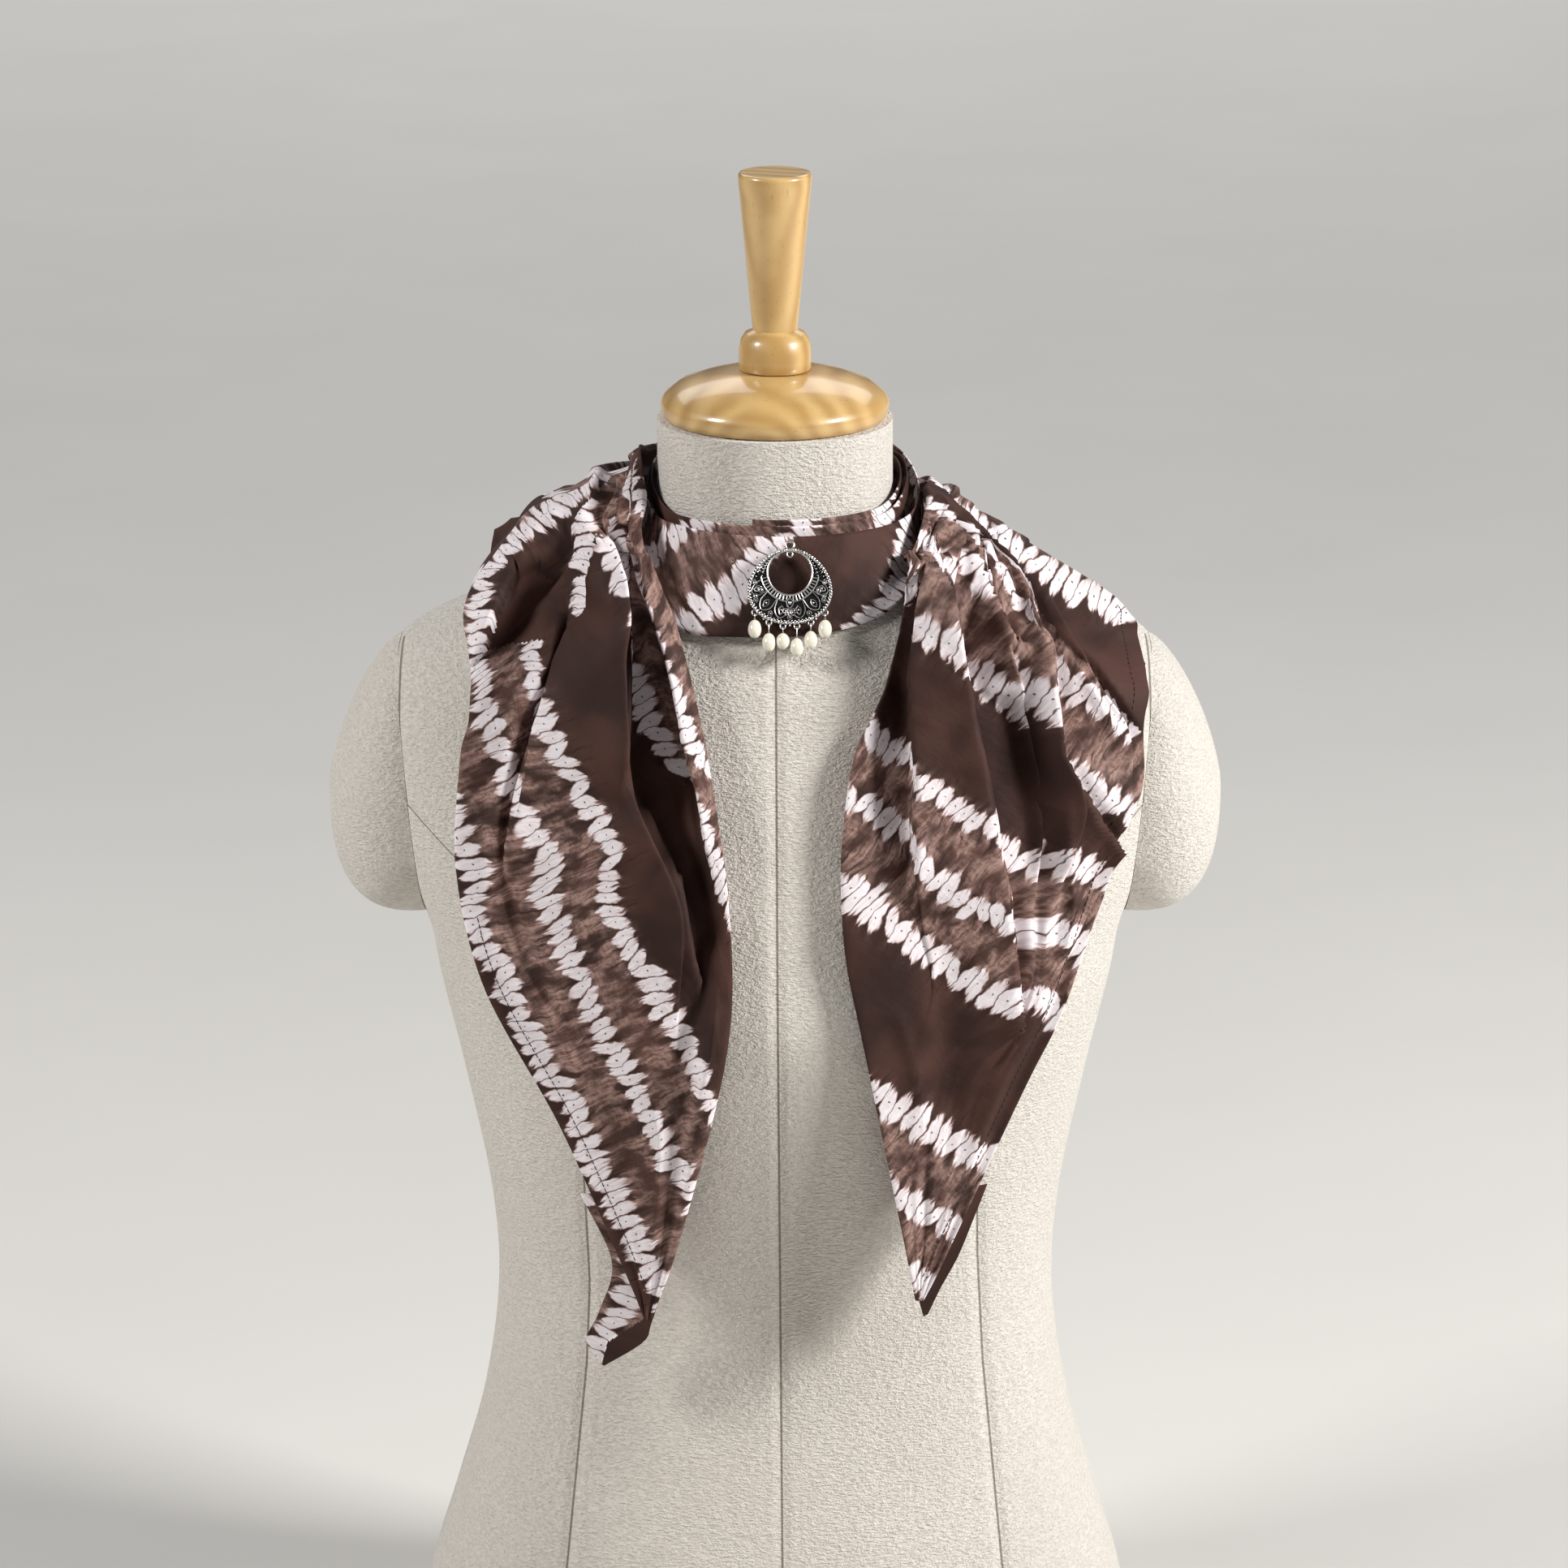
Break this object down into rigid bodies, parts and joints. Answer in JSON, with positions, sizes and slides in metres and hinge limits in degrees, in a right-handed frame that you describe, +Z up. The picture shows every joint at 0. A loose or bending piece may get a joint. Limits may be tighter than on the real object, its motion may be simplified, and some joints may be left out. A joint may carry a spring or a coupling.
{
  "type": "scarf with brooch on dress form",
  "caption": "Large square scarf folded on its diagonal and wound once round the neck of a limbless dress form, pinned at the throat with a crescent brooch with hanging pearls.",
  "frame": {"origin": "middle of the part's box at the form's flat underside", "axes": "+Z up along the form's middle line, -Y to the front, where the brooch is, +X to the viewer's right"},
  "size_m": [0.412, 0.263, 0.7466],
  "materials": {
    "form_cloth": "crinkled ivory cloth",
    "arm_cap_cloth": "crinkled ivory cloth",
    "disc_wood": "clear gloss lacquer",
    "knob_wood": "clear gloss lacquer",
    "dyed_cotton": "smooth fine cotton, dark brown with a white resist pattern",
    "pale_cotton": "smooth fine cotton, pale part of the pattern",
    "plain_cotton": "smooth fine cotton, plain dark brown",
    "dark_silver": "antiqued silver",
    "pearl": "pearl lustre"
  },
  "bodies": {
    "scarf_on_form": {"dress_form": "form_cloth", "arm_cap_left": "arm_cap_cloth", "arm_cap_right": "arm_cap_cloth", "neck_disc": "disc_wood", "neck_knob": "knob_wood", "scarf_throat_band": "dyed_cotton", "scarf_neck_layer_inner": "pale_cotton", "scarf_neck_layer_outer": "pale_cotton", "scarf_left_tail": "dyed_cotton", "scarf_right_tail": "dyed_cotton", "scarf_left_under_tip": "plain_cotton", "scarf_right_under_tip": "plain_cotton", "brooch_plate": "dark_silver"},
    "drop_1": {"pearl_drop_1": "pearl"},
    "drop_2": {"pearl_drop_2": "pearl"},
    "drop_3": {"pearl_drop_3": "pearl"},
    "drop_4": {"pearl_drop_4": "pearl"},
    "drop_5": {"pearl_drop_5": "pearl"},
    "drop_6": {"pearl_drop_6": "pearl"}
  },
  "joints": [
    {"name": "drop_1_swing", "type": "hinge", "parent": "scarf_on_form", "child": "drop_1", "pos_m": [-0.0089, -0.07963, 0.56255], "axis": [-1, 0, 0], "range_deg": [0, 90]},
    {"name": "drop_2_swing", "type": "hinge", "parent": "scarf_on_form", "child": "drop_2", "pos_m": [-0.0026, -0.08127, 0.55849], "axis": [-1, 0, 0], "range_deg": [0, 90]},
    {"name": "drop_3_swing", "type": "hinge", "parent": "scarf_on_form", "child": "drop_3", "pos_m": [0.0036, -0.08187, 0.55701], "axis": [-1, 0, 0], "range_deg": [0, 90]},
    {"name": "drop_4_swing", "type": "hinge", "parent": "scarf_on_form", "child": "drop_4", "pos_m": [0.0098, -0.08187, 0.55701], "axis": [-1, 0, 0], "range_deg": [0, 90]},
    {"name": "drop_5_swing", "type": "hinge", "parent": "scarf_on_form", "child": "drop_5", "pos_m": [0.016, -0.08127, 0.55849], "axis": [-1, 0, 0], "range_deg": [0, 90]},
    {"name": "drop_6_swing", "type": "hinge", "parent": "scarf_on_form", "child": "drop_6", "pos_m": [0.0223, -0.07963, 0.56255], "axis": [-1, 0, 0], "range_deg": [0, 90]}
  ]
}
